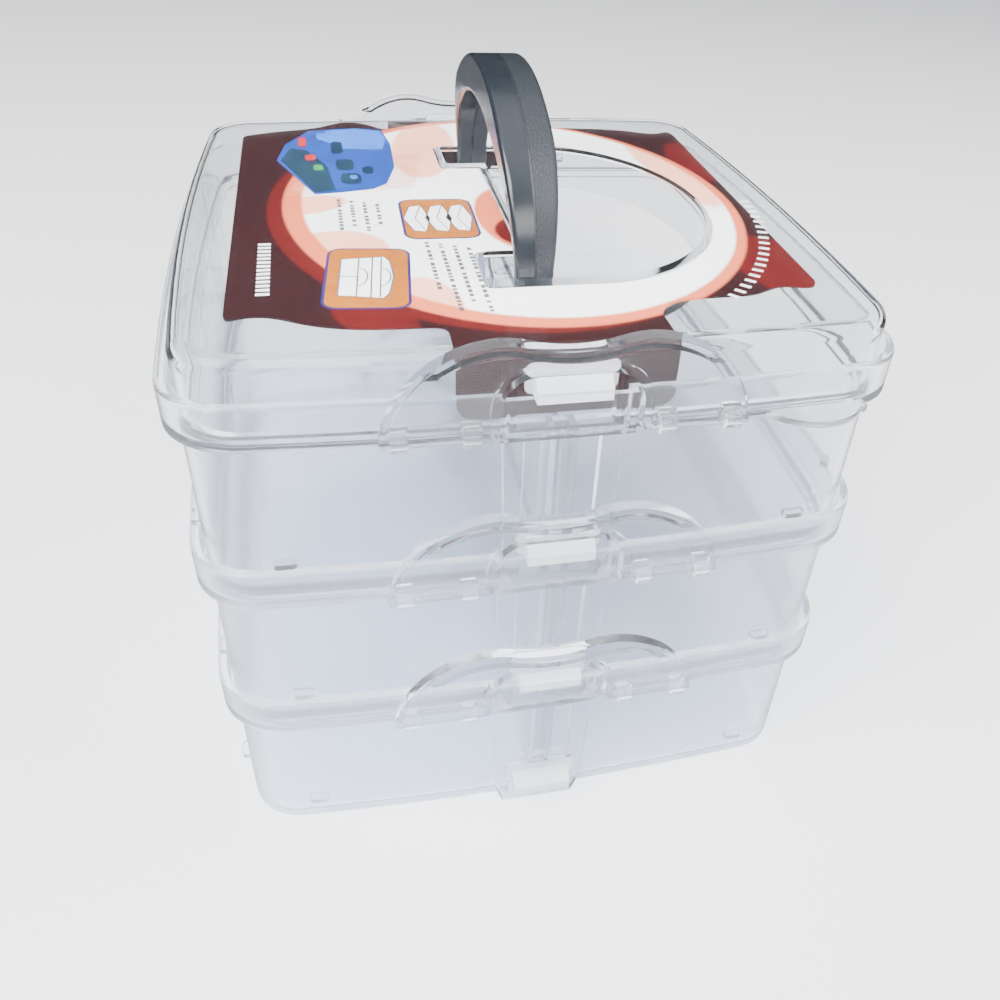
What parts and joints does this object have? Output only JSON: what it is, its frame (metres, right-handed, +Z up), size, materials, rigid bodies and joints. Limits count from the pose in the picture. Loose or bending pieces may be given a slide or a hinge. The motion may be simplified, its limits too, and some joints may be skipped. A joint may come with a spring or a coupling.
{
  "type": "stacking sewing box",
  "caption": "Clear stacking sewing box: trays with dividers that latch onto each other, a lid over a printed card, and an arched handle that folds into the lid.",
  "frame": {"origin": "centre of the bottom tray's underside", "axes": "+Z up, +X to the right seen from the front, +Y to the back; the handle spans front to back and folds towards +X"},
  "size_m": [0.15, 0.16, 0.1623],
  "materials": {
    "clear_tray": "clear polypropylene, slightly milky",
    "clear_lid": "clear polypropylene, slightly milky",
    "clear_latch": "clear polypropylene",
    "clear_divider": "clear polypropylene",
    "grey_handle": "slate grey moulded plastic, half glossy and half finely grained",
    "printed_card": "coated printed paper card"
  },
  "bodies": {
    "tray_bottom": {"tray_bottom": "clear_tray", "divider_bottom": "clear_divider"},
    "tray_middle": {"tray_middle": "clear_tray", "divider_middle": "clear_divider"},
    "tray_top": {"tray_top": "clear_tray", "divider_top": "clear_divider"},
    "lid": {"lid": "clear_lid", "printed_card": "printed_card"},
    "handle": {"handle": "grey_handle"},
    "latch_front_bottom": {"latch_front_bottom": "clear_latch"},
    "latch_back_bottom": {"latch_back_bottom": "clear_latch"},
    "latch_front_middle": {"latch_front_middle": "clear_latch"},
    "latch_back_middle": {"latch_back_middle": "clear_latch"},
    "latch_front_top": {"latch_front_top": "clear_latch"},
    "latch_back_top": {"latch_back_top": "clear_latch"}
  },
  "joints": [
    {"name": "tray_middle_lift", "type": "slide", "parent": "tray_bottom", "child": "tray_middle", "axis": [0, 0, 1], "range_m": [0, 0.03]},
    {"name": "tray_top_lift", "type": "slide", "parent": "tray_middle", "child": "tray_top", "axis": [0, 0, 1], "range_m": [0, 0.03]},
    {"name": "lid_lift", "type": "slide", "parent": "tray_top", "child": "lid", "axis": [0, 0, 1], "range_m": [0, 0.03]},
    {"name": "handle_fold", "type": "hinge", "parent": "lid", "child": "handle", "pos_m": [0, 0, 0.1255], "axis": [0, 1, 0], "range_deg": [0, 90]},
    {"name": "latch_front_bottom_swing", "type": "hinge", "parent": "tray_bottom", "child": "latch_front_bottom", "pos_m": [0, -0.077, 0.0396], "axis": [1, 0, 0], "range_deg": [0, 165]},
    {"name": "latch_back_bottom_swing", "type": "hinge", "parent": "tray_bottom", "child": "latch_back_bottom", "pos_m": [0, 0.077, 0.0396], "axis": [-1, 0, 0], "range_deg": [0, 165]},
    {"name": "latch_front_middle_swing", "type": "hinge", "parent": "tray_middle", "child": "latch_front_middle", "pos_m": [0, -0.077, 0.0778], "axis": [1, 0, 0], "range_deg": [0, 165]},
    {"name": "latch_back_middle_swing", "type": "hinge", "parent": "tray_middle", "child": "latch_back_middle", "pos_m": [0, 0.077, 0.0778], "axis": [-1, 0, 0], "range_deg": [0, 165]},
    {"name": "latch_front_top_swing", "type": "hinge", "parent": "tray_top", "child": "latch_front_top", "pos_m": [0, -0.077, 0.116], "axis": [1, 0, 0], "range_deg": [0, 165]},
    {"name": "latch_back_top_swing", "type": "hinge", "parent": "tray_top", "child": "latch_back_top", "pos_m": [0, 0.077, 0.116], "axis": [-1, 0, 0], "range_deg": [0, 165]}
  ],
  "couplings": [
    {"joint": "latch_front_bottom_swing", "follows": "tray_middle_lift", "rad_per_m": 95.984},
    {"joint": "latch_back_bottom_swing", "follows": "tray_middle_lift", "rad_per_m": 95.984},
    {"joint": "latch_front_middle_swing", "follows": "tray_top_lift", "rad_per_m": 95.984},
    {"joint": "latch_back_middle_swing", "follows": "tray_top_lift", "rad_per_m": 95.984},
    {"joint": "latch_front_top_swing", "follows": "lid_lift", "rad_per_m": 95.984},
    {"joint": "latch_back_top_swing", "follows": "lid_lift", "rad_per_m": 95.984}
  ]
}
